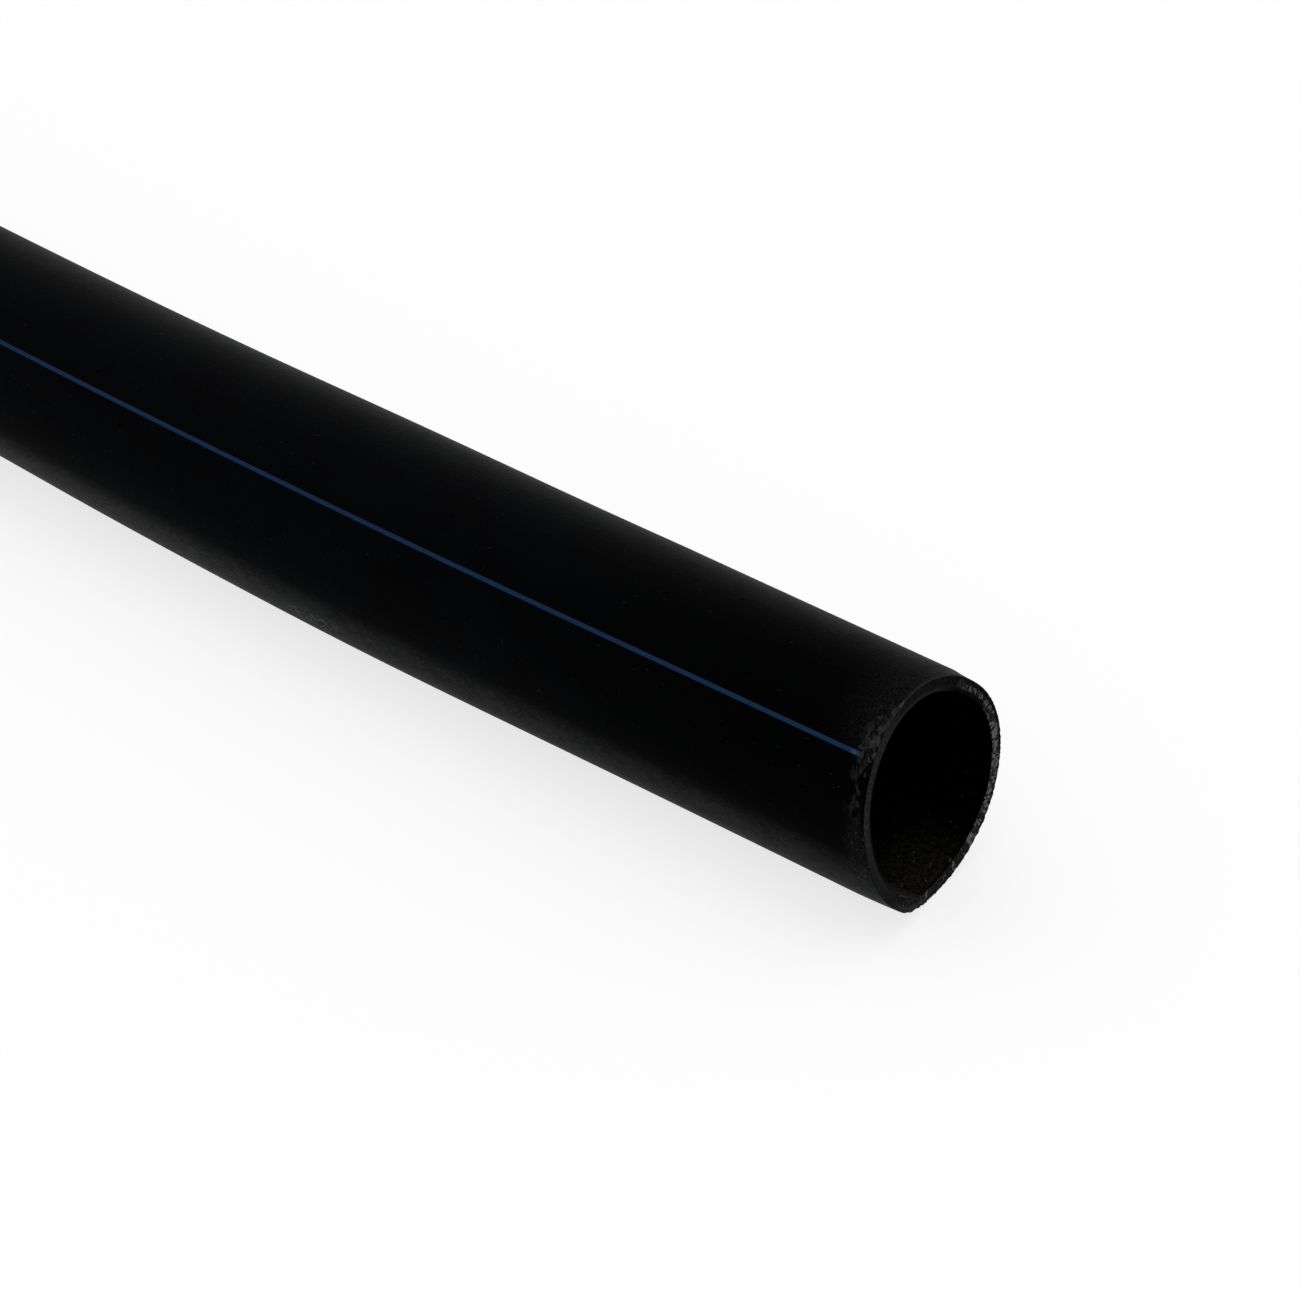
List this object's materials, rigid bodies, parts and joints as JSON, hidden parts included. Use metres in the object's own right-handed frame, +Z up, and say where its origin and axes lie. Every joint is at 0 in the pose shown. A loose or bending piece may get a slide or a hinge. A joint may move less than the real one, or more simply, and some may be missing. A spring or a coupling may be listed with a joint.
{
  "type": "polyethylene pipe length",
  "caption": "Metre length of black polyethylene pipe with thin blue stripes, a slight coil bend, one uneven hand-sawn end and one square end.",
  "frame": {"origin": "centre of the footprint, on the floor the pipe lies on", "axes": "+X along the chord to the sawn end, +Y to the hollow side of the bend, +Z up"},
  "size_m": [1.011, 0.0863, 0.063],
  "materials": {
    "black_polyethylene": "matte, scuffed",
    "blue_polyethylene": "matte"
  },
  "bodies": {
    "root": {"pipe_wall": "black_polyethylene", "blue_stripes": "blue_polyethylene"}
  },
  "joints": []
}
